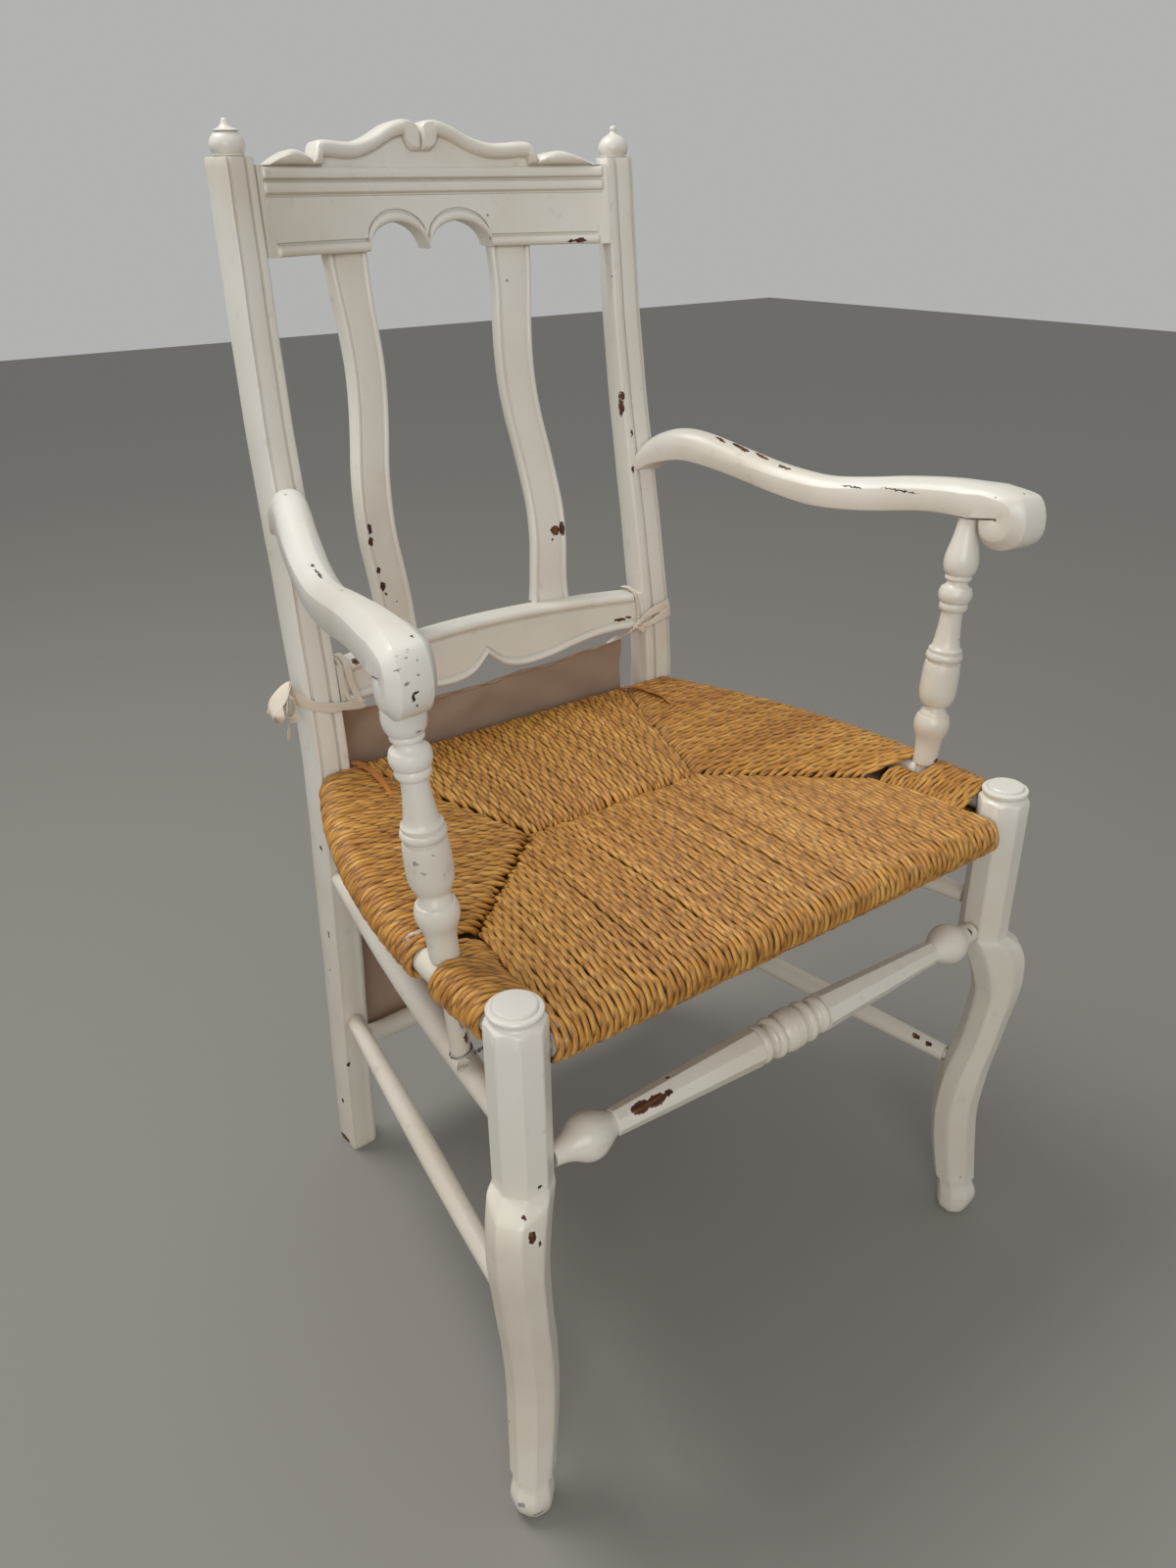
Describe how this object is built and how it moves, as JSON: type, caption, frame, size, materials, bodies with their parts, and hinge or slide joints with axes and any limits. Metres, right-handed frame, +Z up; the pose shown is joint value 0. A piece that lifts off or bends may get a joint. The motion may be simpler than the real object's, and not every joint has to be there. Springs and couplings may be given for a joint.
{
  "type": "rush seat armchair",
  "caption": "Tall-backed wooden armchair with chipped off-white paint, turned and carved frame, woven rush seat and a linen cloth tied behind the seat.",
  "frame": {"origin": "on the floor, under the middle of the chair's width and depth", "axes": "+Z up, the chair faces -Y, +X is to the right as seen from the front"},
  "size_m": [0.6084, 0.561, 1.0134],
  "materials": {
    "painted_wood": "worn off-white paint over dark wood",
    "rush": "twisted dry rush",
    "cane": "smooth varnished cane",
    "wire": "dull oxidised wire",
    "linen": "thin woven cloth",
    "tape": "thin woven tape"
  },
  "bodies": {
    "root": {"rear_post_left": "painted_wood", "rear_post_right": "painted_wood", "finial_left": "painted_wood", "finial_right": "painted_wood", "crest_rail": "painted_wood", "splat_left": "painted_wood", "splat_right": "painted_wood", "lower_back_rail": "painted_wood", "arm_left": "painted_wood", "arm_right": "painted_wood", "arm_support_left": "painted_wood", "arm_support_right": "painted_wood", "front_leg_left": "painted_wood", "front_leg_right": "painted_wood", "front_stretcher": "painted_wood", "upper_side_stretcher_left": "painted_wood", "upper_side_stretcher_right": "painted_wood", "lower_side_stretcher_left": "painted_wood", "lower_side_stretcher_right": "painted_wood", "rear_stretcher": "painted_wood", "seat_rail_front": "painted_wood", "seat_rail_back": "painted_wood", "seat_rail_left": "painted_wood", "seat_rail_right": "painted_wood", "rush_seat": "rush", "corner_strip_left": "cane", "corner_strip_right": "cane", "wire_wrap": "wire", "back_cloth": "linen", "tie_left": "tape", "tie_right": "tape"}
  },
  "joints": []
}
